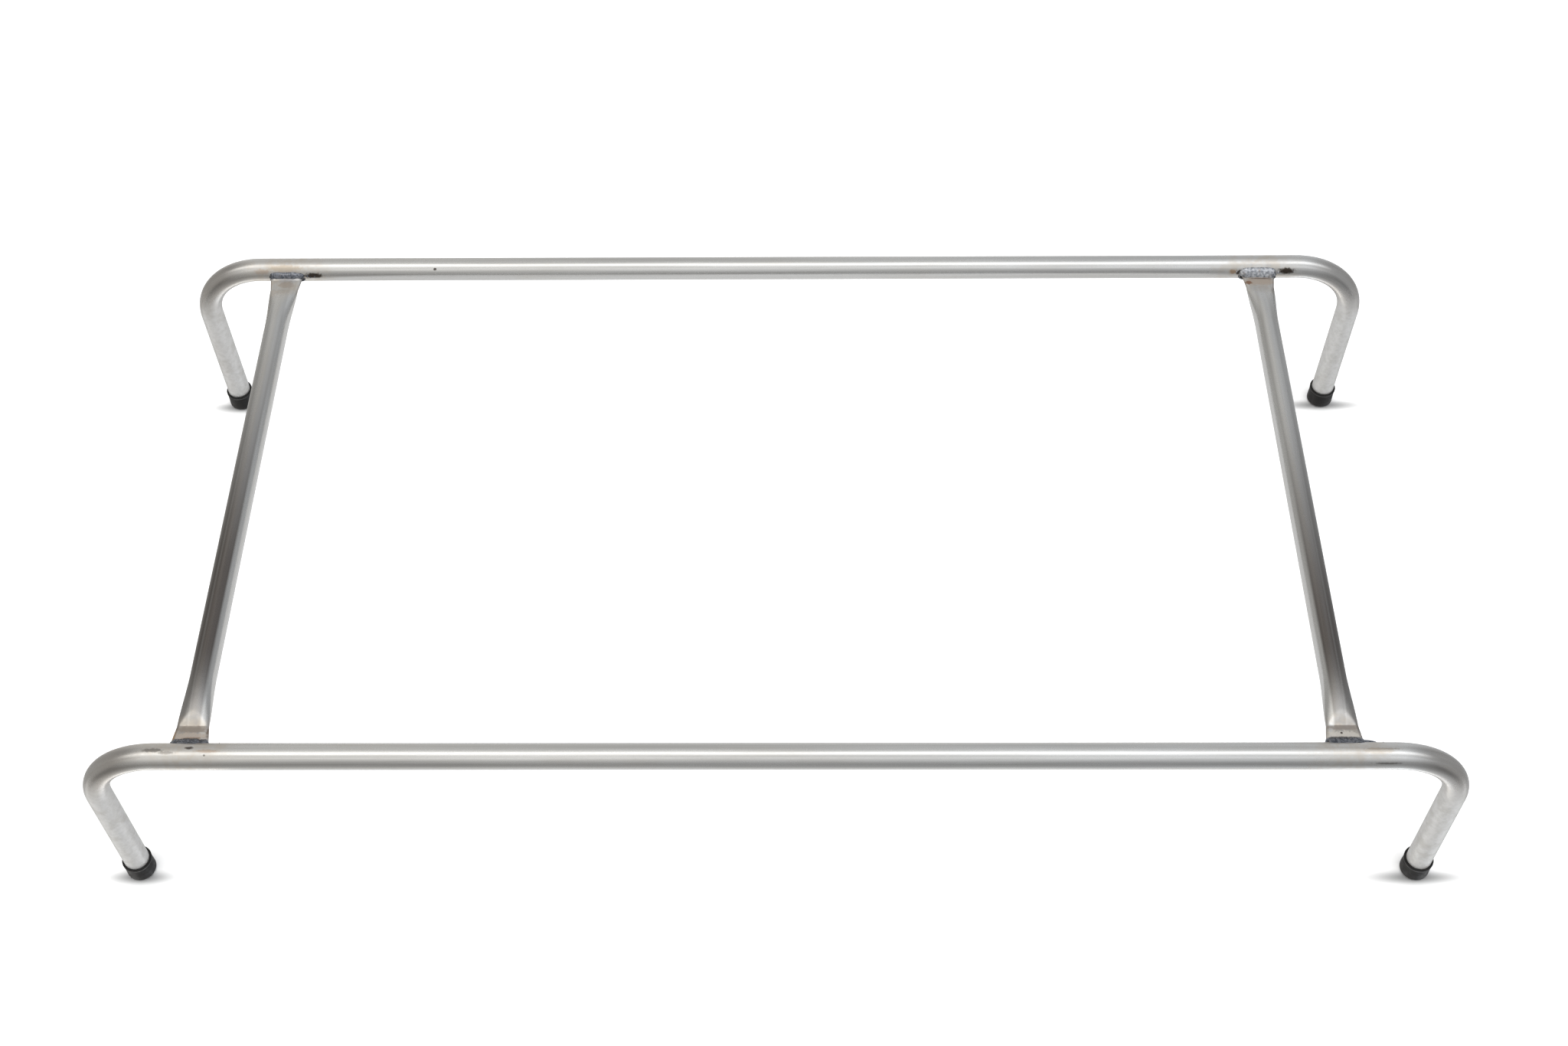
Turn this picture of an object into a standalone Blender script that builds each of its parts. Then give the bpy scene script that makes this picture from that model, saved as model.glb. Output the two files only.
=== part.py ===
"""Tyre storage rack: a low welded frame of round steel tube on four push-on foot caps.

Two long rails carry the tyres. Each rail is one tube whose ends are bent down into legs.
Two cross tubes with flattened ends join the rails, and a weld bead above and below each
flattened end holds it. X runs along the rails, Y across them and Z up. The origin is on
the floor, at the centre of the rack.
"""

import math

import bmesh
import bpy
from mathutils import Vector

# Driving dimensions, in metres.
TUBE_DIAMETER = 0.022
TUBE_WALL = 0.0015
LEG_SPACING_X = 1.140
RAIL_SPACING_Y = 0.548
RAIL_HEIGHT = 0.200  # floor to the rail's centreline
BEND_RADIUS = 0.063  # on the centreline
CROSS_TUBE_X = {"left": -0.480, "right": 0.468}

# Flattened ends of the cross tubes.
FLAT_SLIT = 0.0006  # left between the two walls where the tube is pressed flat
FLAT_LENGTH = 0.017
FLARE_LENGTH = 0.046  # from the flat back to the full round tube
CREASE_LENGTH = 0.004  # the steep start of the flare
CREASE_SHARE = 0.28  # how much of the tube's roundness is back after the steep start

# Foot caps.
CAP_DIAMETER = 0.026
CAP_HEIGHT = 0.020
CAP_FLOOR = 0.003
CAP_BOTTOM_ROUNDING = 0.0025
CAP_LIP_CHAMFER = 0.0008

# Weld beads.
BEAD_LENGTH = 0.034
BEAD_TOP_ANGLE = math.radians(40)  # how far the bead climbs the rail, above its mid height
BEAD_TOE = 0.0045  # how far the bead reaches over the flattened end
BEAD_CROWN = 0.0011  # how far the bead's face bulges out

PIECE_GAP = 0.0003  # clearance between neighbouring pieces

# Facets.
TUBE_SIDES = 20
CAP_SIDES = 24
BEND_STEPS = 6
FLARE_STEPS = 6
ROUNDING_STEPS = 3
BEAD_STEPS = 8
BEAD_RAIL_STEPS = 3
BEAD_CROWN_STEPS = 3

TUBE_RADIUS = TUBE_DIAMETER / 2
HALF_LENGTH = LEG_SPACING_X / 2
HALF_WIDTH = RAIL_SPACING_Y / 2
LEG_END_HEIGHT = CAP_FLOOR + PIECE_GAP
FLAT_THICKNESS = 2 * TUBE_WALL + FLAT_SLIT

FINISHES = {
    "tube_steel": ((0.60, 0.60, 0.59), 0.34, 1.0),
    "weld_metal": ((0.24, 0.24, 0.26), 0.48, 1.0),
    "cap_rubber": ((0.022, 0.021, 0.020), 0.62, 0.0),
}


def clear_scene():
    for obj in list(bpy.data.objects):
        bpy.data.objects.remove(obj, do_unlink=True)


def finish_material(name, finish):
    """One Principled material, in a finish that several pieces may have."""
    colour, roughness, metallic = FINISHES[finish]
    material = bpy.data.materials.new(name)
    material.use_nodes = True
    shader = material.node_tree.nodes["Principled BSDF"]
    shader.inputs["Base Color"].default_value = (*colour, 1.0)
    shader.inputs["Roughness"].default_value = roughness
    shader.inputs["Metallic"].default_value = metallic
    return material


def skin(bm, loops):
    """Quads between each loop of vertices and the next."""
    for first, second in zip(loops, loops[1:]):
        count = len(first)
        for i in range(count):
            j = (i + 1) % count
            bm.faces.new((first[i], first[j], second[j], second[i]))


def add_loops(bm, rings):
    return [[bm.verts.new(point) for point in ring] for ring in rings]


def mesh_from(bm, name, sharp_angle=math.radians(35)):
    bmesh.ops.recalc_face_normals(bm, faces=bm.faces)
    mesh = bpy.data.meshes.new(name)
    bm.to_mesh(mesh)
    bm.free()
    mesh.shade_smooth()
    mesh.set_sharp_from_angle(angle=sharp_angle)
    return mesh


def tube_mesh(name, outer_rings, inner_rings):
    """A tube with open ends, from the rings of its outer and inner surfaces."""
    bm = bmesh.new()
    outer = add_loops(bm, outer_rings)
    inner = add_loops(bm, inner_rings)
    skin(bm, outer)
    skin(bm, inner)
    skin(bm, [outer[0], inner[0]])
    skin(bm, [outer[-1], inner[-1]])
    return mesh_from(bm, name)


def add_piece(name, mesh, finish, parent, location, rotation_z=0.0):
    piece = bpy.data.objects.new(name, mesh)
    mesh.materials.clear()
    mesh.materials.append(finish_material(name, finish))
    piece.location = location
    piece.rotation_euler = (0.0, 0.0, rotation_z)
    piece.parent = parent
    bpy.context.scene.collection.objects.link(piece)
    return piece


# Rails


def rail_stations():
    """Points along the rail's centreline at y = 0, each with the way out of the bend there."""
    bend_x = HALF_LENGTH - BEND_RADIUS
    bend_z = RAIL_HEIGHT - BEND_RADIUS
    right = [(Vector((HALF_LENGTH, 0, LEG_END_HEIGHT)), Vector((1, 0, 0)))]
    for step in range(BEND_STEPS + 1):
        angle = math.pi / 2 * step / BEND_STEPS
        outward = Vector((math.cos(angle), 0, math.sin(angle)))
        right.append((Vector((bend_x, 0, bend_z)) + outward * BEND_RADIUS, outward))
    mirror = Vector((-1, 1, 1))
    left = [(centre * mirror, outward * mirror) for centre, outward in reversed(right)]
    return right + left


def circle(centre, outward, radius):
    """A ring round a rail station. The rail lies in the XZ plane, so Y crosses it everywhere."""
    points = []
    for side in range(TUBE_SIDES):
        angle = 2 * math.pi * side / TUBE_SIDES
        across = Vector((0, math.sin(angle), 0))
        points.append(centre + (outward * math.cos(angle) + across) * radius)
    return points


def rail_mesh(name):
    stations = rail_stations()
    outer = [circle(centre, outward, TUBE_RADIUS) for centre, outward in stations]
    inner = [circle(centre, outward, TUBE_RADIUS - TUBE_WALL) for centre, outward in stations]
    return tube_mesh(name, outer, inner)


# Cross tubes


def pressed_section(y, mid_radius, offset):
    """A ring of the cross tube at y. Pressing keeps the length of the wall's middle line, so as
    mid_radius falls, the two halves of the circle move apart. offset leads from that line to a
    surface of the wall."""
    round_mid_radius = TUBE_RADIUS - TUBE_WALL / 2
    half_flat = math.pi / 2 * (round_mid_radius - mid_radius)
    points = []
    for side in range(TUBE_SIDES):
        angle = 2 * math.pi * (side + 0.5) / TUBE_SIDES - math.pi / 2
        shift = math.copysign(half_flat, math.cos(angle))
        x = shift + (mid_radius + offset) * math.cos(angle)
        z = (mid_radius + offset) * math.sin(angle)
        points.append(Vector((x, y, z)))
    return points


def flare_stations():
    """(y, mid_radius) from one tip of the cross tube to the other."""
    tip = HALF_WIDTH - TUBE_RADIUS - PIECE_GAP
    flat = (FLAT_THICKNESS - TUBE_WALL) / 2
    full = TUBE_RADIUS - TUBE_WALL / 2
    half = [(tip, flat), (tip - FLAT_LENGTH, flat)]
    for step in range(FLARE_STEPS + 1):
        share = step / FLARE_STEPS
        reach = FLAT_LENGTH + CREASE_LENGTH + (FLARE_LENGTH - CREASE_LENGTH) * share
        roundness = CREASE_SHARE + (1 - CREASE_SHARE) * math.sin(math.pi / 2 * share)
        half.append((tip - reach, flat + (full - flat) * roundness))
    return half + [(-y, radius) for y, radius in reversed(half)]


def cross_tube_mesh(name):
    stations = flare_stations()
    outer = [pressed_section(y, radius, TUBE_WALL / 2) for y, radius in stations]
    inner = [pressed_section(y, radius, -TUBE_WALL / 2) for y, radius in stations]
    return tube_mesh(name, outer, inner)


# Foot caps


def cap_profile():
    """(radius, height) from the rounded bottom edge, up the outside and down the inside."""
    outer = CAP_DIAMETER / 2
    inner = TUBE_RADIUS + PIECE_GAP
    profile = []
    for step in range(ROUNDING_STEPS + 1):
        angle = math.pi / 2 * step / ROUNDING_STEPS
        radius = outer - CAP_BOTTOM_ROUNDING * (1 - math.sin(angle))
        height = CAP_BOTTOM_ROUNDING * (1 - math.cos(angle))
        profile.append((radius, height))
    profile.append((outer, CAP_HEIGHT - CAP_LIP_CHAMFER))
    profile.append((outer - CAP_LIP_CHAMFER, CAP_HEIGHT))
    profile.append((inner, CAP_HEIGHT))
    profile.append((inner, CAP_FLOOR))
    return profile


def cap_mesh(name):
    bm = bmesh.new()
    rings = []
    for radius, height in cap_profile():
        angles = [2 * math.pi * side / CAP_SIDES for side in range(CAP_SIDES)]
        rings.append([(radius * math.cos(a), radius * math.sin(a), height) for a in angles])
    loops = add_loops(bm, rings)
    skin(bm, loops)
    bm.faces.new(loops[0])
    bm.faces.new(loops[-1])
    return mesh_from(bm, name)


# Weld beads


def bead_section(x, fullness):
    """The bead's outline at x, for a rail centred on y = 0, z = 0 and a cross tube towards +Y.
    It runs up the rail, over the bulging face and back along the flattened end."""
    reach = TUBE_RADIUS + PIECE_GAP
    foot = FLAT_THICKNESS / 2 + PIECE_GAP
    root_angle = math.asin(foot / reach)
    top_angle = root_angle + (BEAD_TOP_ANGLE - root_angle) * fullness
    points = []
    for step in range(BEAD_RAIL_STEPS + 1):
        angle = root_angle + (top_angle - root_angle) * step / BEAD_RAIL_STEPS
        points.append(Vector((x, reach * math.cos(angle), reach * math.sin(angle))))
    toe = Vector((x, TUBE_RADIUS + BEAD_TOE * fullness + PIECE_GAP, foot))
    face = toe - points[-1]
    bulge = Vector((0, -face.z, face.y)).normalized() * BEAD_CROWN * fullness
    top = points[-1]
    for step in range(1, BEAD_CROWN_STEPS + 1):
        share = step / (BEAD_CROWN_STEPS + 1)
        points.append(top + face * share + bulge * math.sin(math.pi * share))
    points.append(toe)
    return points


def bead_mesh(name, side):
    """side is 1 for a bead above the flattened end and -1 for the one below it."""
    end_fullness = 0.35
    rings = []
    for step in range(BEAD_STEPS + 1):
        along = 2 * step / BEAD_STEPS - 1
        fullness = end_fullness + (1 - end_fullness) * math.sqrt(1 - along**4)
        rings.append(bead_section(along * BEAD_LENGTH / 2, fullness))
    bm = bmesh.new()
    loops = add_loops(bm, rings)
    skin(bm, loops)
    bm.faces.new(loops[0])
    bm.faces.new(loops[-1])
    for vertex in bm.verts:
        vertex.co.z *= side
    return mesh_from(bm, name)


def build():
    clear_scene()
    rack = bpy.data.objects.new("rack", None)
    bpy.context.scene.collection.objects.link(rack)

    rails = {"front": -HALF_WIDTH, "rear": HALF_WIDTH}
    for end, y in rails.items():
        name = f"{end}_rail"
        add_piece(name, rail_mesh(name), "tube_steel", rack, (0, y, 0))

    for side, x in CROSS_TUBE_X.items():
        name = f"{side}_cross_tube"
        add_piece(name, cross_tube_mesh(name), "tube_steel", rack, (x, 0, RAIL_HEIGHT))

    for end, y in rails.items():
        for side, sign in (("left", -1), ("right", 1)):
            name = f"{end}_{side}_foot_cap"
            add_piece(name, cap_mesh(name), "cap_rubber", rack, (sign * HALF_LENGTH, y, 0))

    for end, y in rails.items():
        facing = 0.0 if end == "front" else math.pi  # turns the bead towards the rack's middle
        for side, x in CROSS_TUBE_X.items():
            for level, sign in (("top", 1), ("bottom", -1)):
                name = f"{end}_{side}_{level}_weld"
                place = (x, y, RAIL_HEIGHT)
                add_piece(name, bead_mesh(name, sign), "weld_metal", rack, place, facing)


build()
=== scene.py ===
"""Tyre storage rack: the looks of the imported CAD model, in a plain pale studio."""

import itertools
import math
import random

import bmesh
import bpy
from mathutils import Matrix, Vector, noise


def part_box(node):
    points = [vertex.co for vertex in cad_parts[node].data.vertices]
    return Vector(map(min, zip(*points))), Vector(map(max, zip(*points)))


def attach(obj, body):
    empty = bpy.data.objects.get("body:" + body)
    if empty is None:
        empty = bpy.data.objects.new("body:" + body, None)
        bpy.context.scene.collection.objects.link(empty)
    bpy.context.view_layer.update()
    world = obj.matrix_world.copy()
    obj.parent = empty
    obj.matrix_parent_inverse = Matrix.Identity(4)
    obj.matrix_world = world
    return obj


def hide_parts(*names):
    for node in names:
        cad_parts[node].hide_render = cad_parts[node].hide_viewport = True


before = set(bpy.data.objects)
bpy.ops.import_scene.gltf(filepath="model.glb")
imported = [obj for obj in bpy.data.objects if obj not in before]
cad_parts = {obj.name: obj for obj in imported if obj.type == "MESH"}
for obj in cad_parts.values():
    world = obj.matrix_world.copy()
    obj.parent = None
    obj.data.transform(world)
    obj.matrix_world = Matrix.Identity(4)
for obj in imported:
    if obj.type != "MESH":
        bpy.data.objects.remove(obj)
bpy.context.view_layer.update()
scene = bpy.context.scene

# Sizes that the frame gives, in metres.

left_low, left_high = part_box("left_cross_tube")
right_low, right_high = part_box("right_cross_tube")
cap_low, cap_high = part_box("front_left_foot_cap")
rail_low, rail_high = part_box("front_rail")
rear_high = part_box("rear_rail")[1]

TUBE_RADIUS = (rail_high.y - rail_low.y) / 2
HALF_LENGTH = rail_high.x - TUBE_RADIUS
HALF_WIDTH = rear_high.y - TUBE_RADIUS
RAIL_HEIGHT = rail_high.z - TUBE_RADIUS
LEG_END_HEIGHT = rail_low.z
CROSS_X = {"left": (left_low.x + left_high.x) / 2, "right": (right_low.x + right_high.x) / 2}
RAIL_Y = {"front": -HALF_WIDTH, "rear": HALF_WIDTH}
CAP_RADIUS = (cap_high.x - cap_low.x) / 2
CAP_HEIGHT = cap_high.z

# Sizes that the frame doesn't give.

BEND_RADIUS = 0.063  # of a rail's centre line
FLAT_LENGTH = 0.017  # of a cross tube's flattened end
FLAT_HALF = 0.0018  # half the thickness of that end
SHARP_DEGREES = 40  # edges that fold more than this look sharp

# Meshes: small modelling helpers


def tube_attribute(mesh, name, values):
    """Stores a vector for each vertex, which the materials read as a place on the unbent tube."""
    attribute = mesh.attributes.new(name, "FLOAT_VECTOR", "POINT")
    attribute.data.foreach_set("vector", [number for vector in values for number in vector])


def lofted(name, rings, coordinates=None):
    """A smooth skin through rings with the same number of points, closed at both ends."""
    mesh = bpy.data.meshes.new(name)
    count = len(rings[0])
    vertices = [tuple(point) for ring in rings for point in ring]
    faces = []
    for level in range(len(rings) - 1):
        for i in range(count):
            j = (i + 1) % count
            low, high = level * count, (level + 1) * count
            faces.append((low + i, low + j, high + j, high + i))
    last = (len(rings) - 1) * count
    faces.append(tuple(reversed(range(count))))
    faces.append(tuple(range(last, last + count)))
    mesh.from_pydata(vertices, [], faces)
    if coordinates:
        tube_attribute(mesh, "tube_place", [place for ring in coordinates for place in ring])
    fix = bmesh.new()
    fix.from_mesh(mesh)
    bmesh.ops.recalc_face_normals(fix, faces=fix.faces)
    fix.to_mesh(mesh)
    fix.free()
    mesh.shade_smooth()
    mesh.set_sharp_from_angle(angle=math.radians(SHARP_DEGREES))
    return mesh


def add_piece(name, mesh, material, node):
    """Puts a piece in the scene in place of one CAD node."""
    piece = bpy.data.objects.new(name, mesh)
    scene.collection.objects.link(piece)
    mesh.materials.append(material)
    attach(piece, "root")
    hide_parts(node)


# Node helpers

MIX_A, MIX_B, MIX_RESULT = 6, 7, 2  # a mix node's colour sockets, whose names repeat


class Nodes:
    """Builds the node tree of a material or of the world with short calls."""

    def __init__(self, owner, shader="Principled BSDF"):
        owner.use_nodes = True
        self.owner = owner
        self.tree = owner.node_tree
        self.shader = self.tree.nodes[shader]

    def link(self, source, target):
        self.tree.links.new(source, target)

    def put(self, socket, value):
        """Gives a socket a value, or links it to another node's output."""
        if hasattr(value, "is_output"):
            self.link(value, socket)
        else:
            socket.default_value = value

    def paint(self, **values):
        """Gives the shader's inputs their values. An underscore stands for a space."""
        for key, value in values.items():
            self.put(self.shader.inputs[key.replace("_", " ")], value)

    def node(self, kind, values=None, **settings):
        """A new node, with values for some of its inputs."""
        made = self.tree.nodes.new(kind)
        for key, setting in settings.items():
            setattr(made, key, setting)
        for key, value in (values or {}).items():
            self.put(made.inputs[key], value)
        return made

    def math(self, operation, a, b=0.0, clamp=False):
        settings = {"operation": operation, "use_clamp": clamp}
        return self.node("ShaderNodeMath", {0: a, 1: b}, **settings).outputs[0]

    def times(self, *factors):
        product = factors[0]
        for factor in factors[1:]:
            product = self.math("MULTIPLY", product, factor)
        return product

    def attribute(self, name):
        return self.node("ShaderNodeAttribute", attribute_name=name).outputs["Vector"]

    def place(self):
        return self.node("ShaderNodeTexCoord").outputs["Object"]

    def axes(self, vector):
        return self.node("ShaderNodeSeparateXYZ", {0: vector}).outputs

    def noise(self, vector, scale, detail=3.0, roughness=0.55):
        values = {"Vector": vector, "Scale": scale, "Detail": detail, "Roughness": roughness}
        return self.node("ShaderNodeTexNoise", values).outputs["Fac"]

    def streaks(self, vector, scales, detail=3.0, roughness=0.55):
        """Noise with its own scale for each axis."""
        stretched = self.node("ShaderNodeMapping", {"Vector": vector, "Scale": scales})
        return self.noise(stretched.outputs[0], 1.0, detail, roughness)

    def around_zero(self, noise_value, width):
        """Noise moved to run to both sides of zero, width metres or shares from end to end."""
        return self.math("MULTIPLY", self.math("SUBTRACT", noise_value, 0.5), width)

    def spots(self, vector, scale):
        values = {"Vector": vector, "Scale": scale}
        return self.node("ShaderNodeTexVoronoi", values).outputs["Distance"]

    def ramp(self, value, low, high, start=0.0, end=1.0):
        """Eased ramp from start at low to end at high, held flat outside."""
        values = {"Value": value, "From Min": low, "From Max": high, "To Min": start, "To Max": end}
        return self.node("ShaderNodeMapRange", values, interpolation_type="SMOOTHSTEP").outputs[0]

    def mix(self, share, a, b):
        values = {"Factor": share}
        for socket, colour in ((MIX_A, a), (MIX_B, b)):
            values[socket] = colour if hasattr(colour, "is_output") else (*colour, 1.0)
        return self.node("ShaderNodeMix", values, data_type="RGBA").outputs[MIX_RESULT]

    def vector_math(self, operation, *vectors):
        values = dict(enumerate(vectors))
        return self.node("ShaderNodeVectorMath", values, operation=operation).outputs

    def distance(self, vector, point, squeeze=(1.0, 1.0, 1.0)):
        """Distance from a point, measured after squeezing each axis."""
        moved = self.vector_math("SUBTRACT", vector, point)[0]
        shaped = self.vector_math("MULTIPLY", moved, squeeze)[0]
        return self.vector_math("LENGTH", shaped)["Value"]

    def bump(self, height, strength, distance, normal=None):
        values = {"Strength": strength, "Distance": distance, "Height": height}
        if normal is not None:
            values["Normal"] = normal
        return self.node("ShaderNodeBump", values).outputs[0]


# Materials

STEEL_LIGHT = (0.80, 0.80, 0.79)
STEEL_DARK = (0.68, 0.675, 0.66)
CLOUDED_STEEL = (0.66, 0.63, 0.58)
STREAKED_STEEL = (0.46, 0.45, 0.44)
BROWN_GREY_AND_SHADE = (0.165, 0.148, 0.138)  # handled, oily steel of the cross tubes, made darker with painted shade
WORKED_STEEL = (0.50, 0.465, 0.43)  # browner where the tube was bent
TAN = (0.62, 0.53, 0.42)
RUST = (0.50, 0.33, 0.20)
BLUE_TINT = (0.44, 0.46, 0.53)
BURNT = (0.06, 0.045, 0.035)
PALE_OXIDE = (0.65, 0.65, 0.645)  # dull skin of the legs
GREY_OXIDE = (0.56, 0.56, 0.55)
DARK_OXIDE = (0.46, 0.45, 0.425)
PIT_COLOUR = (0.16, 0.14, 0.12)
BROWN_SCALE = (0.23, 0.16, 0.11)  # on the weld metal
RUBBER_DARK = (0.0065, 0.006, 0.006)
RUBBER_LIGHT = (0.013, 0.012, 0.0115)
RUBBER_DUST = (0.032, 0.028, 0.025)

# Scales of the noise across and along a tube.
FINE_STREAKS = (900.0, 900.0, 9.0)
BROAD_STREAKS = (210.0, 210.0, 4.0)
CLOUDS = (60.0, 60.0, 9.0)

# The brown and painted shade on a cross tube. The first and the last are shares of the radius
# from the tube's middle, counted towards the middle of the rack. The others are places along Y.
INNER_SIDE = (0.50, 0.70)
BROWN_AND_SHADE_START = (-0.25, -0.17)
BROWN_AND_SHADE_FADE = {"left": (-0.10, 0.22), "right": (-0.17, 0.16)}
RUBBED_LINE = -0.32

# Distances from a weld at which its heat tint starts and ends to fade.
TAN_REACH = (0.013, 0.034)
BLUE_REACH = (0.005, 0.0125)
HEAT_SQUEEZE = (0.62, 1.0, 1.0)  # the tint runs further along the rail


def weld_points():
    beside = 1 - TUBE_RADIUS / HALF_WIDTH
    joints = itertools.product(RAIL_Y.values(), CROSS_X.values())
    return [Vector((x, y * beside, RAIL_HEIGHT)) for y, x in joints]


def on_rail(end, x, degrees):
    """A point on a rail's surface. degrees turn from its top towards the rack's front."""
    turn = math.radians(degrees)
    y = RAIL_Y[end] - TUBE_RADIUS * math.sin(turn)
    return Vector((x, y, RAIL_HEIGHT + TUBE_RADIUS * math.cos(turn)))


def on_flat(end, side, x, reach):
    """A point on top of a flattened end, reach metres from its tip."""
    tip = HALF_WIDTH - TUBE_RADIUS
    y = math.copysign(tip - reach, RAIL_Y[end])
    return Vector((CROSS_X[side] + x, y, RAIL_HEIGHT + FLAT_HALF))


def marks():
    """(centre, half sizes in x, y and z, colour, strength) of each stain and burn, in metres."""
    left, right = CROSS_X["left"], CROSS_X["right"]
    return [
        (on_rail("front", left - 0.026, 2), (0.009, 0.0022, 0.002), BURNT, 0.55),
        (on_rail("front", left - 0.014, 14), (0.008, 0.0013, 0.002), BURNT, 0.45),
        (on_rail("front", left + 0.004, -10), (0.004, 0.0016, 0.002), BURNT, 0.85),
        (on_rail("front", left + 0.019, 6), (0.010, 0.0016, 0.002), RUST, 0.45),
        (on_rail("front", right + 0.0305, 64), (0.012, 0.0010, 0.0010), BURNT, 0.60),
        (on_rail("front", right + 0.0250, -1), (0.017, 0.0010, 0.0015), (0.30, 0.25, 0.20), 0.50),
        (on_rail("front", right + 0.022, 8), (0.014, 0.0030, 0.003), TAN, 0.50),
        (on_rail("rear", left + 0.0265, 76), (0.0105, 0.0034, 0.0032), BURNT, 0.95),
        (on_rail("rear", left - 0.002, 38), (0.017, 0.0040, 0.0040), TAN, 0.75),
        (on_rail("rear", left - 0.024, 55), (0.008, 0.0030, 0.0030), RUST, 0.35),
        (on_rail("rear", right + 0.0275, 68), (0.0085, 0.0036, 0.0036), BURNT, 0.97),
        (on_rail("rear", right - 0.0245, 70), (0.0045, 0.0030, 0.0030), RUST, 0.80),
        (on_rail("rear", right - 0.0185, 74), (0.0030, 0.0030, 0.0030), BURNT, 0.90),
        (on_rail("rear", -0.334, 44), (0.0020, 0.0014, 0.0014), BURNT, 0.90),
        (on_flat("front", "left", 0.0, 0.0135), (0.017, 0.0038, 0.004), (0.40, 0.345, 0.30), 0.85),
        (on_flat("front", "left", 0.0, 0.0070), (0.017, 0.0040, 0.004), (0.66, 0.575, 0.50), 0.85),
        (on_flat("front", "left", -0.0155, 0.007), (0.0030, 0.0085, 0.004), (0.62, 0.42, 0.24), 0.9),
        (on_flat("front", "left", 0.0150, 0.012), (0.0030, 0.0060, 0.004), (0.30, 0.22, 0.17), 0.8),
        (on_flat("front", "left", 0.002, 0.0052), (0.010, 0.0012, 0.004), (0.34, 0.24, 0.18), 0.7),
        (on_flat("front", "right", 0.0, 0.0145), (0.017, 0.0026, 0.004), (0.40, 0.35, 0.31), 0.8),
        (on_flat("front", "right", 0.0, 0.0070), (0.017, 0.0050, 0.004), (0.86, 0.81, 0.73), 0.8),
        (on_flat("front", "right", -0.002, 0.0094), (0.0012, 0.0010, 0.004), BURNT, 0.95),
        (on_flat("rear", "left", 0.002, 0.0110), (0.009, 0.0050, 0.004), (0.50, 0.43, 0.37), 0.6),
        (on_flat("rear", "right", 0.0, 0.0100), (0.017, 0.0065, 0.004), (0.62, 0.52, 0.43), 0.8),
        (on_flat("rear", "right", -0.011, 0.0115), (0.0040, 0.0028, 0.004), (0.33, 0.19, 0.12), 0.9),
        (on_flat("rear", "right", 0.003, 0.0065), (0.013, 0.0008, 0.004), (0.20, 0.15, 0.13), 0.8),
    ]


def brown_and_shade_share(n, axes, broad, side):
    """How much brown and painted shade shows on a cross tube: hardly any down its inner side and at
    its rear end, less at its front end, and a little less along one thin line that is rubbed."""
    inwards = 1.0 if side == "left" else -1.0
    from_middle = n.math("SUBTRACT", axes["X"], CROSS_X[side])
    across = n.times(from_middle, inwards / TUBE_RADIUS)
    from_line = n.math("ABSOLUTE", n.math("SUBTRACT", across, RUBBED_LINE))
    return n.times(
        n.ramp(across, *INNER_SIDE, 1.0, 0.0),
        n.ramp(axes["Y"], *BROWN_AND_SHADE_FADE[side], 1.0, 0.05),
        n.ramp(axes["Y"], *BROWN_AND_SHADE_START, 0.55, 1.0),
        n.ramp(broad, 0.25, 0.65, 0.86, 1.0),
        n.ramp(from_line, 0.03, 0.12, 0.82, 1.0),
    )


def bend_share(n, axes, cloud):
    """How far a rail's steel is browned: from the start of each bend, unevenly."""
    start = HALF_LENGTH - BEND_RADIUS
    bent = n.ramp(n.math("ABSOLUTE", axes["X"]), start, start + BEND_RADIUS * 0.6)
    return n.times(bent, n.ramp(cloud, 0.30, 0.62, 0.35, 0.75))


def leg_share(n, axes):
    """1 on the legs, falling to 0 round the bends above them."""
    low = RAIL_HEIGHT - BEND_RADIUS * 1.1
    high = RAIL_HEIGHT - BEND_RADIUS * 0.25
    return n.ramp(axes["Z"], low, high, 1.0, 0.0)


def leg_colour(n, world, mottle):
    dull = n.mix(n.ramp(mottle, 0.35, 0.70), PALE_OXIDE, GREY_OXIDE)
    patches = n.ramp(n.noise(world, 70.0, 4.0, 0.6), 0.48, 0.66, 0.0, 0.55)
    return n.mix(patches, dull, DARK_OXIDE)


def heat_shares(n, world):
    """How tanned and how blued the steel is by the welds near it."""
    wobble = n.around_zero(n.noise(world, 95.0, 4.0, 0.6), 0.024)
    tanned, blued = 0.0, 0.0
    for point in weld_points():
        reach = n.math("ADD", n.distance(world, point, HEAT_SQUEEZE), wobble)
        tanned = n.math("MAXIMUM", tanned, n.ramp(reach, *TAN_REACH, 1.0, 0.0))
        blued = n.math("MAXIMUM", blued, n.ramp(reach, *BLUE_REACH, 1.0, 0.0))
    return tanned, blued


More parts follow.
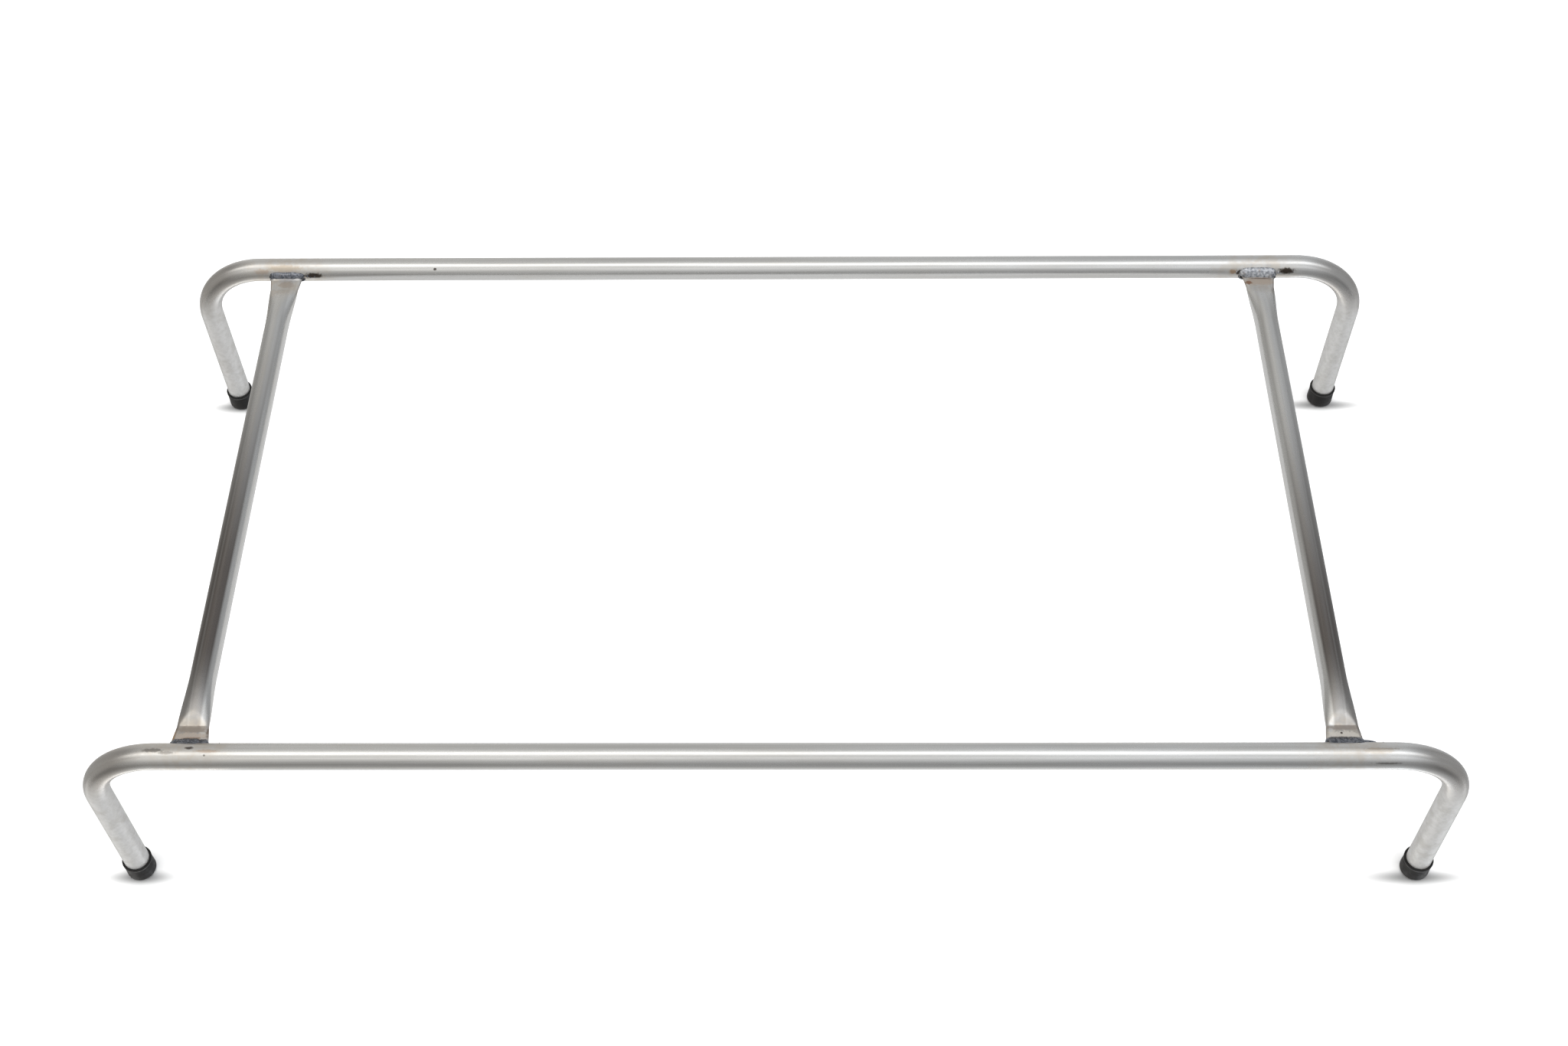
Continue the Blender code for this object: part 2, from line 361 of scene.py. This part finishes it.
def steel(name, side=None):
    """Drawn tube: streaks along its length, clouded, tanned and burnt by the welds. side names
    the cross tube that it is for, and a rail's steel has none."""
    n = Nodes(bpy.data.materials.new(name))
    along = n.attribute("tube_place")
    world = n.place()
    axes = n.axes(world)
    fine = n.streaks(along, FINE_STREAKS)
    broad = n.streaks(along, BROAD_STREAKS)
    cloud = n.streaks(along, CLOUDS, 4.0, 0.6)
    mottle = n.noise(world, 240.0, 4.0, 0.65)

    colour = n.mix(n.ramp(broad, 0.32, 0.68), STEEL_DARK, STEEL_LIGHT)
    colour = n.mix(n.ramp(cloud, 0.45, 0.75, 0.0, 0.35), colour, CLOUDED_STEEL)
    colour = n.mix(n.ramp(fine, 0.60, 0.78, 0.0, 0.22), colour, STREAKED_STEEL)
    rough = n.ramp(broad, 0.3, 0.7, 0.21, 0.28)
    metallic = 1.0
    if side:
        # Painted shade and brown: the cross tube turns dark brown-grey everywhere but down its inner
        # side.
        colour = n.mix(brown_and_shade_share(n, axes, broad, side), colour, BROWN_GREY_AND_SHADE)
    else:
        colour = n.mix(bend_share(n, axes, cloud), colour, WORKED_STEEL)
        leg = leg_share(n, axes)
        colour = n.mix(n.times(leg, 0.85), colour, leg_colour(n, world, mottle))
        rough = n.math("ADD", rough, n.times(leg, 0.16))
        metallic = n.math("SUBTRACT", 1.0, n.times(leg, 0.55))

    tanned, blued = heat_shares(n, world)
    patchy = n.ramp(n.noise(world, 140.0, 4.0, 0.6), 0.36, 0.62, 0.25, 1.0)
    colour = n.mix(n.times(tanned, patchy, 0.45), colour, TAN)
    colour = n.mix(n.times(blued, 0.35), colour, BLUE_TINT)

    ragged = n.around_zero(n.noise(world, 420.0, 4.0, 0.65), 1.5)
    burnt = 0.0
    for centre, sizes, tint, strength in marks():
        inside = n.math("ADD", n.distance(world, centre, [1 / size for size in sizes]), ragged)
        share = n.ramp(inside, 0.55, 1.15, strength, 0.0)
        colour = n.mix(share, colour, tint)
        burnt = n.math("MAXIMUM", burnt, share)

    rare = n.ramp(n.noise(world, 21.0, 2.0), 0.62, 0.68)
    pits = n.times(n.ramp(n.spots(world, 38.0), 0.022, 0.042, 1.0, 0.0), rare)
    colour = n.mix(n.times(pits, 0.7), colour, PIT_COLOUR)

    rough = n.math("ADD", rough, n.times(n.math("MAXIMUM", tanned, burnt), 0.14))
    rough = n.math("ADD", rough, n.ramp(mottle, 0.35, 0.7, -0.02, 0.04), clamp=True)
    normal = n.bump(fine, 0.10, 0.00004)
    normal = n.bump(broad, 0.10, 0.00010, normal)
    normal = n.bump(cloud, 0.10, 0.0003, normal)
    normal = n.bump(mottle, 0.05, 0.00006, normal)
    normal = n.bump(n.times(burnt, ragged), 0.35, 0.0003, normal)
    normal = n.bump(pits, 0.5, -0.0003, normal)
    n.paint(Base_Color=colour, Metallic=metallic, Roughness=rough, Normal=normal)
    return n.owner


def bead_metal(name, dark, light):
    n = Nodes(bpy.data.materials.new(name))
    world = n.place()
    cloud = n.noise(world, 420.0, 4.0, 0.6)
    grain = n.noise(world, 2600.0, 3.0)
    colour = n.mix(n.ramp(cloud, 0.35, 0.70), dark, light)
    brown = n.ramp(n.noise(world, 260.0, 3.0), 0.60, 0.74, 0.0, 0.6)
    colour = n.mix(brown, colour, BROWN_SCALE)
    rough = n.ramp(cloud, 0.3, 0.7, 0.22, 0.38)
    normal = n.bump(cloud, 0.25, 0.0002, n.bump(grain, 0.15, 0.00006))
    n.paint(Base_Color=colour, Metallic=1.0, Roughness=rough, Normal=normal)
    return n.owner


def cap_rubber():
    n = Nodes(bpy.data.materials.new("black_rubber"))
    world = n.place()
    dust = n.noise(world, 180.0, 5.0, 0.65)
    grain = n.noise(world, 1800.0, 3.0)
    low = n.ramp(n.axes(world)["Z"], 0.0, CAP_HEIGHT * 0.45, 0.8, 0.1)
    colour = n.mix(n.ramp(dust, 0.40, 0.75), RUBBER_DARK, RUBBER_LIGHT)
    colour = n.mix(n.times(n.ramp(dust, 0.5, 0.7), low), colour, RUBBER_DUST)
    rough = n.ramp(dust, 0.3, 0.7, 0.38, 0.60)
    normal = n.bump(dust, 0.3, 0.0005, n.bump(grain, 0.25, 0.00012))
    n.paint(Base_Color=colour, Specular_IOR_Level=0.30, Roughness=rough, Normal=normal)
    return n.owner


# Rails

RAIL_SIDES = 64
BEND_STEPS = 40
STRAIGHT_STEP = 0.008
BEND_SQUASH = 0.035  # how far the tube goes oval in its bends


def rail_stations():
    """Along one rail: centre, way out of the bend, arc length, and how far into a bend it is."""
    bend_x = HALF_LENGTH - BEND_RADIUS
    bend_z = RAIL_HEIGHT - BEND_RADIUS
    half = []
    leg_steps = int((bend_z - LEG_END_HEIGHT) / STRAIGHT_STEP)
    for step in range(leg_steps):
        z = LEG_END_HEIGHT + (bend_z - LEG_END_HEIGHT) * step / leg_steps
        half.append((Vector((HALF_LENGTH, 0, z)), Vector((1, 0, 0)), 0.0))
    for step in range(BEND_STEPS + 1):
        angle = math.pi / 2 * step / BEND_STEPS
        outward = Vector((math.cos(angle), 0, math.sin(angle)))
        centre = Vector((bend_x, 0, bend_z)) + outward * BEND_RADIUS
        bent = math.sin(2 * angle) ** 0.7 if 0 < step < BEND_STEPS else 0.0
        half.append((centre, outward, bent))
    run_steps = int(bend_x / STRAIGHT_STEP)
    for step in range(1, run_steps + 1):
        centre = Vector((bend_x * (1 - step / run_steps), 0, RAIL_HEIGHT))
        half.append((centre, Vector((0, 0, 1)), 0.0))
    mirror = Vector((-1, 1, 1))
    other = [(centre * mirror, way * mirror, bent) for centre, way, bent in reversed(half[:-1])]
    stations, length = [], 0.0
    for centre, outward, bent in half + other:
        if stations:
            length += (centre - stations[-1][0]).length
        stations.append((centre, outward, length, bent))
    return stations


def rail_mesh(name, y):
    rings, places = [], []
    for centre, outward, length, bent in rail_stations():
        ring, place = [], []
        for side in range(RAIL_SIDES):
            angle = 2 * math.pi * side / RAIL_SIDES
            c, s = math.cos(angle), math.sin(angle)
            flat = 1 - BEND_SQUASH * bent * (1.0 if c > 0 else 0.4)
            wide = 1 + 0.5 * BEND_SQUASH * bent
            point = centre + outward * (c * TUBE_RADIUS * flat)
            ring.append(point + Vector((0, y + s * TUBE_RADIUS * wide, 0)))
            place.append((c * TUBE_RADIUS, s * TUBE_RADIUS + y, length))
        rings.append(ring)
        places.append(place)
    return lofted(name, rings, places)


# Cross tubes

CROSS_SIDES = 120
FLARE_LENGTH = 0.050  # from the flat to the round tube
RAMP_SLOPE = math.tan(math.radians(22))  # of the pressed faces that rise from the flat
TIP_HALF_WIDTH = 0.0159
TIP_HALF_HEIGHT = 0.0030
CREASE_HALF_WIDTH = 0.0134
CREASE_HALF_HEIGHT = 0.0037  # of the oval that the crease is pressed into
FOLD = 0.0009  # how far the folded sides stand above the flat
FOLD_FROM = 0.72  # share of the half width where the folded sides start to rise
FOLD_RISE = 0.18  # share of the half width over which they rise
FRONT_BLEND = 0.00035  # how softly the pressed faces meet
REAR_BLEND = 0.0016
FINE_STEP = 0.0012  # along the flattened end and the flare


def eased(share):
    share = min(1.0, max(0.0, share))
    return share * share * (3 - 2 * share)


def softly_lower(a, b, blend):
    """The smaller of two heights, rounded over blend metres where they meet."""
    share = min(1.0, max(0.0, 0.5 + 0.5 * (b - a) / blend))
    return b * (1 - share) + a * share - blend * share * (1 - share)


def cross_section(reach, blend):
    """(x, z) points of the cross tube's outside, reach metres from its tip."""
    if reach < FLAT_LENGTH:
        share = reach / FLAT_LENGTH
        wide = TIP_HALF_WIDTH + (CREASE_HALF_WIDTH - TIP_HALF_WIDTH) * share
        high = TIP_HALF_HEIGHT + (CREASE_HALF_HEIGHT - TIP_HALF_HEIGHT) * share
    else:
        share = min(1.0, (reach - FLAT_LENGTH) / FLARE_LENGTH)
        wide = CREASE_HALF_WIDTH + (TUBE_RADIUS - CREASE_HALF_WIDTH) * eased(share)
        grown = math.sin(math.pi / 2 * share)
        high = CREASE_HALF_HEIGHT + (TUBE_RADIUS - CREASE_HALF_HEIGHT) * grown
    climb = (reach - FLAT_LENGTH) / blend
    risen = math.log(1 + math.exp(climb)) if climb < 30 else climb
    ceiling = FLAT_HALF + 0.0002 + risen * blend * RAMP_SLOPE
    fold = FOLD * eased(reach / 0.008) * eased((FLAT_LENGTH + 0.004 - reach) / 0.006)
    points = []
    for k in range(2 * CROSS_SIDES):
        angle = math.pi * (k + 0.5) / CROSS_SIDES - math.pi / 2
        x = wide * math.cos(angle)
        limit = ceiling + fold * eased((abs(x) / wide - FOLD_FROM) / FOLD_RISE)
        z = high * math.sin(angle)
        if reach > 0.004:
            pressed = softly_lower(abs(z), limit, 2.2 * blend)
        else:
            pressed = min(abs(z), limit)
        points.append((x, math.copysign(max(pressed, 0.0), z)))
    return points


def cross_reaches(length):
    """Distances from the tip to each ring, up to the middle of the tube."""
    shaped = FLAT_LENGTH + FLARE_LENGTH
    reaches = [0.0]
    while reaches[-1] + FINE_STEP < shaped:
        reaches.append(reaches[-1] + FINE_STEP)
    reaches = sorted(reaches + [FLAT_LENGTH, FLAT_LENGTH + 0.0003])
    rest = length / 2 - FLAT_LENGTH - FLARE_LENGTH
    count = int(rest / STRAIGHT_STEP)
    return reaches + [shaped + rest * i / count for i in range(count + 1)]


def resampled(points):
    """The outline again with its points spread evenly, so that flat stretches have some too."""
    ends = [Vector((x, 0, z)) for x, z in points]
    lengths = [0.0]
    for a, b in zip(ends, ends[1:] + ends[:1]):
        lengths.append(lengths[-1] + (b - a).length)
    total, made, index = lengths[-1], [], 0
    for k in range(CROSS_SIDES):
        target = total * k / CROSS_SIDES
        while lengths[index + 1] < target:
            index += 1
        span = lengths[index + 1] - lengths[index]
        share = (target - lengths[index]) / span if span > 0 else 0.0
        made.append(ends[index].lerp(ends[(index + 1) % len(ends)], share))
    return made


def cross_mesh(name, x):
    length = 2 * (HALF_WIDTH - TUBE_RADIUS) + 0.0004
    rings, places = [], []
    reaches = cross_reaches(length)
    turns = [2 * math.pi * k / CROSS_SIDES for k in range(CROSS_SIDES)]
    stations = [(-length / 2 + reach, reach) for reach in reaches]
    stations += [(length / 2 - reach, reach) for reach in reversed(reaches[:-1])]
    for y, reach in stations:
        blend = FRONT_BLEND if y < 0 else REAR_BLEND
        outline = resampled(cross_section(reach, blend))
        rings.append([point + Vector((x, y, RAIL_HEIGHT)) for point in outline])
        place = [(math.cos(t) * TUBE_RADIUS + x, math.sin(t) * TUBE_RADIUS, y) for t in turns]
        places.append(place)
    return lofted(name, rings, places)


# Weld beads

BEAD_ALONG = 170
BEAD_AROUND = 20
RIPPLE_PITCH = 0.0021
SINK = 0.0005  # how far a bead's hidden faces lie inside the steel, so that no gap shows
BULGE = 0.00105  # how far a full bead's face stands out of the straight line between its edges
LAG = 0.0009  # how far the ripples trail in the middle of the face
LEAST_FULL = 0.16  # fullness at a bead's very ends
EDGE_DEGREES = 10  # where an empty bead's upper edge lies on the rail, up from its middle
EDGE_CLIMB = 29  # how much higher a full bead's edge lies
EDGE_WANDER = 12
TOE_REACH = 0.0042  # how far a full bead's lower edge runs out over the flattened end
TOE_WANDER = 0.004
TAIL_FULLNESS = 0.42
# Half length, fullness, raggedness, ripple height and tail on the rail, for each joint.
BEAD_STYLE = {
    "front_left": (0.0158, 1.18, 0.26, 0.00030, 0.0),
    "front_right": (0.0162, 1.42, 0.12, 0.00025, 0.0090),
    "rear_left": (0.0168, 0.84, 0.12, 0.00020, 0.0),
    "rear_right": (0.0178, 1.20, 0.05, 0.00006, 0.0),
}
# Spatter balls by each joint: (along the rail, degrees down its inner side, radius).
SPATTER = {
    "front_left": [(-0.024, 78, 0.0005), (0.026, 66, 0.0004)],
    "front_right": [(0.030, 70, 0.0005), (0.024, 84, 0.0006)],
    "rear_left": [(0.0205, 78, 0.0011), (0.0232, 86, 0.0008), (0.0275, 80, 0.0006)],
    "rear_right": [(0.0195, 74, 0.0013), (0.0222, 80, 0.0008), (-0.0210, 70, 0.0007)],
}


def add_balls(mesh, places):
    """Joins small round balls of spatter to a bead's mesh."""
    joined = bmesh.new()
    joined.from_mesh(mesh)
    for place, radius in places:
        shift = Matrix.Translation(place)
        bmesh.ops.create_icosphere(joined, subdivisions=3, radius=radius, matrix=shift)
    for face in joined.faces:
        face.smooth = True
    joined.to_mesh(mesh)
    joined.free()


def bead_end(place, half, tail):
    """1 along most of a bead, falling to 0 at its ends. A tail runs on, thinning out."""
    end = max(0.0, 1 - min(1.0, abs(place) / half) ** 6) ** 0.5
    if not tail or place <= half - 0.002:
        return end
    if place >= half + tail:
        return 0.0
    return max(end, TAIL_FULLNESS * (1 - (place - half) / tail) ** 0.5)


def spatter_places(joint, x, y):
    """(centre, radius) of each ball of spatter by a joint."""
    inward = -math.copysign(1, y)
    places = []
    for along, degrees, radius in SPATTER[joint]:
        turn = math.radians(degrees)
        reach = TUBE_RADIUS + radius * 0.3
        across = y + inward * reach * math.sin(turn)
        places.append(((x + along, across, RAIL_HEIGHT + reach * math.cos(turn)), radius))
    return places


def bead_mesh(name, joint, x, y, level, seed):
    """level is 1 above the flattened end and -1 below it."""
    half, fatness, ragged, ripple_height, tail = BEAD_STYLE[joint]
    inward = -math.copysign(1, y)
    inner = TUBE_RADIUS - SINK
    foot = FLAT_HALF - SINK * 0.4
    random.seed(seed)
    phase = random.random() * 7
    rings = []
    for step in range(BEAD_ALONG + 1):
        place = -half + (2 * half + tail) * (step / BEAD_ALONG)
        end = bead_end(place, half, tail)
        wander = noise.noise(Vector((place * 160, seed * 3.7, 0)))
        swell = noise.noise(Vector((place * 420, seed * 1.3, 5)))
        full = (LEAST_FULL + (1 - LEAST_FULL) * end) * (1 + ragged * wander) * fatness
        ripple = ripple_height * abs(math.sin(math.pi * (place / RIPPLE_PITCH + phase))) * end
        top = math.radians(EDGE_DEGREES + EDGE_CLIMB * full + EDGE_WANDER * ragged * swell)
        toe = TUBE_RADIUS + TOE_REACH * full + TOE_WANDER * ragged * swell * end
        start = Vector((0, inner * math.cos(top), inner * math.sin(top)))
        face = Vector((0, toe, foot)) - start
        out = Vector((0, -face.z, face.y)).normalized()
        ring = []
        for k in range(BEAD_AROUND + 1):
            share = k / BEAD_AROUND
            lag = LAG * (1 - (2 * share - 1) ** 2)
            bulge = math.sin(math.pi * share) ** 0.8 * (BULGE * full + ripple)
            point = start + face * share + out * bulge
            ring.append((place - lag * math.copysign(1, x), point.y, point.z))
        low = math.radians(8)
        ring.append((place, inner * math.cos(low), foot - SINK))
        ring.append((place, inner * math.cos(top / 2), inner * math.sin(top / 2)))
        rings.append([Vector((x + a, y + inward * b, RAIL_HEIGHT + level * c)) for a, b, c in ring])
    mesh = lofted(name + "_shape", rings)
    if level == 1:
        add_balls(mesh, spatter_places(joint, x, y))
    return mesh


# Foot caps

CAP_SIDES = 96
CAP_ROUNDING = 0.0026  # of the lower outside edge
CAP_RIM_WIDTH = 0.0009
CAP_RIM_HEIGHT = 0.0010
UNDERSIDE_DISH = 0.0006


def quarter_turn(steps):
    return [math.pi / 2 * step / steps for step in range(steps + 1)]


def cap_profile():
    """(radius, height) from the middle of the underside, up the outside and down the inside."""
    r, h = CAP_RADIUS, CAP_HEIGHT
    profile = [(r * 0.15, UNDERSIDE_DISH), (r * 0.62, UNDERSIDE_DISH), (r * 0.66, 0.0)]
    for angle in quarter_turn(10):
        radius = r - CAP_ROUNDING * (1 - math.sin(angle)) - 0.0001
        profile.append((radius, CAP_ROUNDING * (1 - math.cos(angle))))
    profile += [(r - 0.00035, h * 0.55), (r - 0.0005, h - 0.0034), (r - 0.00015, h - 0.0030)]
    for angle in quarter_turn(6):
        radius = r - CAP_RIM_WIDTH * (1 - math.cos(angle))
        profile.append((radius, h - CAP_RIM_HEIGHT + CAP_RIM_HEIGHT * math.sin(angle)))
    inner = TUBE_RADIUS + 0.00005
    profile += [(inner + 0.0004, h), (inner, h - 0.0005)]
    profile += [(inner, LEG_END_HEIGHT), (inner * 0.2, LEG_END_HEIGHT)]
    return profile


def cap_mesh(name, x, y):
    turns = [2 * math.pi * k / CAP_SIDES for k in range(CAP_SIDES)]
    rings = []
    for radius, height in cap_profile():
        ring = [(x + radius * math.cos(t), y + radius * math.sin(t), height) for t in turns]
        rings.append(ring)
    return lofted(name + "_shape", rings)


# The rack

rail_steel = steel("rail_steel")
cross_steel = {side: steel(f"{side}_cross_tube_steel", side) for side in CROSS_X}
dark_bead = bead_metal("weld_metal_dark", (0.10, 0.11, 0.13), (0.30, 0.31, 0.34))
bright_bead = bead_metal("weld_metal_bright", (0.22, 0.23, 0.25), (0.60, 0.61, 0.63))
rubber = cap_rubber()
SIGNS = {"left": -1, "right": 1}
LEVELS = {"top": 1, "bottom": -1}

for end, y in RAIL_Y.items():
    rail = rail_mesh(f"{end}_rail_shape", y)
    add_piece(f"{end}_rail_tube", rail, rail_steel, f"{end}_rail")
    for side, sign in SIGNS.items():
        node = f"{end}_{side}_foot_cap"
        cap = cap_mesh(node, sign * HALF_LENGTH, y)
        add_piece(f"{node}_moulding", cap, rubber, node)

for side, x in CROSS_X.items():
    node = f"{side}_cross_tube"
    tube = cross_mesh(f"{node}_shape", x)
    add_piece(f"{node}_pressed", tube, cross_steel[side], node)

joints = itertools.product(RAIL_Y.items(), CROSS_X.items(), LEVELS.items())
for seed, ((end, y), (side, x), (level_name, level)) in enumerate(joints, start=1):
    node = f"{end}_{side}_{level_name}_weld"
    metal = bright_bead if (end, side) == ("rear", "right") else dark_bead
    bead = bead_mesh(node, f"{end}_{side}", x, y, level, seed)
    add_piece(f"{node}_bead", bead, metal, node)

# Studio

FLOOR_SIZE = 90.0
FLOOR_COLOUR = (0.92, 0.92, 0.92)
SHADE_COLOUR = (0.10, 0.10, 0.10)
# Painted soft shadow on the floor round each foot: place and spread along X.
FOOT_SHADES = [(-HALF_LENGTH, 0.042), (HALF_LENGTH, 0.062)]
SHADE_DEPTH = 0.0095
SHADE_STRENGTH = 0.74
CARD_BACK = 1.60
CARD_FRONT = RAIL_Y["front"] - 0.10
CARD_MARGIN = 0.06
CARD_GLOW = 0.72
FILL_STRENGTH = 2.4
FILL_SPREAD = math.radians(100)


def plane(name, size_x, size_y, centre):
    mesh = bpy.data.meshes.new(name)
    x, y = size_x / 2, size_y / 2
    mesh.from_pydata([(-x, -y, 0), (x, -y, 0), (x, y, 0), (-x, y, 0)], [], [(0, 1, 2, 3)])
    made = bpy.data.objects.new(name, mesh)
    made.location = centre
    scene.collection.objects.link(made)
    return made


floor = plane("studio_floor", FLOOR_SIZE, FLOOR_SIZE, (0, 0, 0))
floor.visible_glossy = False
n = Nodes(bpy.data.materials.new("floor_with_painted_shadows"))
ground = n.place()
# Painted shadow: the floor's colour darkens to grey in a soft oval round each foot.
shade = 0.0
for y, (x, spread) in itertools.product(RAIL_Y.values(), FOOT_SHADES):
    centre = (x, y - CAP_RADIUS * 0.70, 0)
    near = n.distance(ground, centre, (1 / spread, 1 / SHADE_DEPTH, 1.0))
    shade = n.math("MAXIMUM", shade, n.ramp(near, 0.1, 1.0, SHADE_STRENGTH, 0.0))
colour = n.mix(shade, FLOOR_COLOUR, SHADE_COLOUR)
n.paint(Base_Color=colour, Roughness=0.9, Specular_IOR_Level=0.0)
floor.data.materials.append(n.owner)

# Only reflections see this sheet of white paper.
card_size = (CROSS_X["right"] - CROSS_X["left"] + CARD_MARGIN, CARD_BACK - CARD_FRONT)
card = plane("white_paper_under_rack", *card_size, (0, (CARD_BACK + CARD_FRONT) / 2, -0.002))
n = Nodes(bpy.data.materials.new("paper_glow"))
n.paint(Base_Color=(0, 0, 0, 1), Specular_IOR_Level=0.0)
n.paint(Emission_Color=(1.0, 1.0, 1.0, 1), Emission_Strength=CARD_GLOW)
card.data.materials.append(n.owner)
card.visible_camera = False
card.visible_diffuse = False
card.visible_shadow = False
card.visible_transmission = False

# A wide, even light from above, which isn't seen in reflections.
fill = bpy.data.lights.new("floor_fill", "SUN")
fill.energy = FILL_STRENGTH
fill.angle = FILL_SPREAD
fill_light = bpy.data.objects.new("floor_fill", fill)
fill_light.visible_glossy = False
scene.collection.objects.link(fill_light)

# World

# Brightness round the rack, by degrees from straight up towards the front.
ROUND_LIGHT = [
    (-180, 0.62), (-100, 0.62), (-50, 0.53), (-30, 0.58), (-15, 0.70), (-5, 1.35), (1, 1.80),
    (9, 1.80), (17, 1.15), (27, 0.80), (36, 0.84), (44, 0.98), (52, 0.84), (66, 0.60),
    (80, 0.46), (95, 0.36), (105, 0.31), (125, 0.36), (150, 0.62), (180, 1.80),
]
BRIGHTEST = max(value for _, value in ROUND_LIGHT)
SIDE_DIMMING = 0.62  # of the bands, towards the two ends of X
END_LIGHT = 0.42  # the bands close up towards the two ends of X, so they fade into this value
WARM = (1.0, 0.985, 0.955)  # from the left
COOL = (0.955, 0.975, 1.0)  # from the right

n = Nodes(bpy.data.worlds.new("studio"), "Background")
scene.world = n.owner
axes = n.axes(n.node("ShaderNodeTexCoord").outputs["Generated"])
turn = n.math("ARCTAN2", n.times(axes["Y"], -1.0), axes["Z"])
place_round = n.math("ADD", n.math("DIVIDE", turn, 2 * math.pi), 0.5)
bands = n.node("ShaderNodeValToRGB", {"Fac": place_round})
bands.color_ramp.interpolation = "EASE"
stops = bands.color_ramp.elements  # it comes with one at each end, which are -180 and 180
for degrees, _ in ROUND_LIGHT[1:-1]:
    stops.new(degrees / 360 + 0.5)
for stop, (_, value) in zip(stops, ROUND_LIGHT):
    stop.color = (value / BRIGHTEST,) * 3 + (1.0,)
sideways = n.math("ABSOLUTE", axes["X"])
far_end = n.ramp(sideways, 0.72, 0.92)
banded = n.times(bands.outputs["Color"], n.ramp(sideways, 0.35, 0.85, 1.0, SIDE_DIMMING), BRIGHTEST)
middle = n.times(banded, n.math("SUBTRACT", 1.0, far_end))
strength = n.math("ADD", middle, n.times(far_end, END_LIGHT))
n.paint(Strength=strength, Color=n.mix(n.ramp(axes["X"], -0.28, 0.28), WARM, COOL))

# Camera

CAMERA_PLACE = (0.0267, -1.0945, RAIL_HEIGHT + 1.4255)
CAMERA_LENS = 45.937  # in millimetres, on a sensor 36 wide
CAMERA_DOWN = math.radians(53.425)
CAMERA_TURN = math.radians(-1.010)
CAMERA_ROLL = math.radians(-0.921)

lens = bpy.data.cameras.new("camera")
lens.sensor_width = 36.0
lens.lens = CAMERA_LENS
camera = bpy.data.objects.new("camera", lens)
scene.collection.objects.link(camera)
level_way = Vector((math.sin(CAMERA_TURN), math.cos(CAMERA_TURN), 0))
forward = level_way * math.cos(CAMERA_DOWN) - Vector((0, 0, math.sin(CAMERA_DOWN)))
right = Vector((math.cos(CAMERA_TURN), -math.sin(CAMERA_TURN), 0))
up = right.cross(forward)
tilted_right = right * math.cos(CAMERA_ROLL) + up * math.sin(CAMERA_ROLL)
tilted_up = up * math.cos(CAMERA_ROLL) - right * math.sin(CAMERA_ROLL)
facing = Matrix((tilted_right, tilted_up, -forward)).transposed().to_4x4()
facing.translation = CAMERA_PLACE
camera.matrix_world = facing
scene.camera = camera
scene.view_settings.view_transform = "Standard"
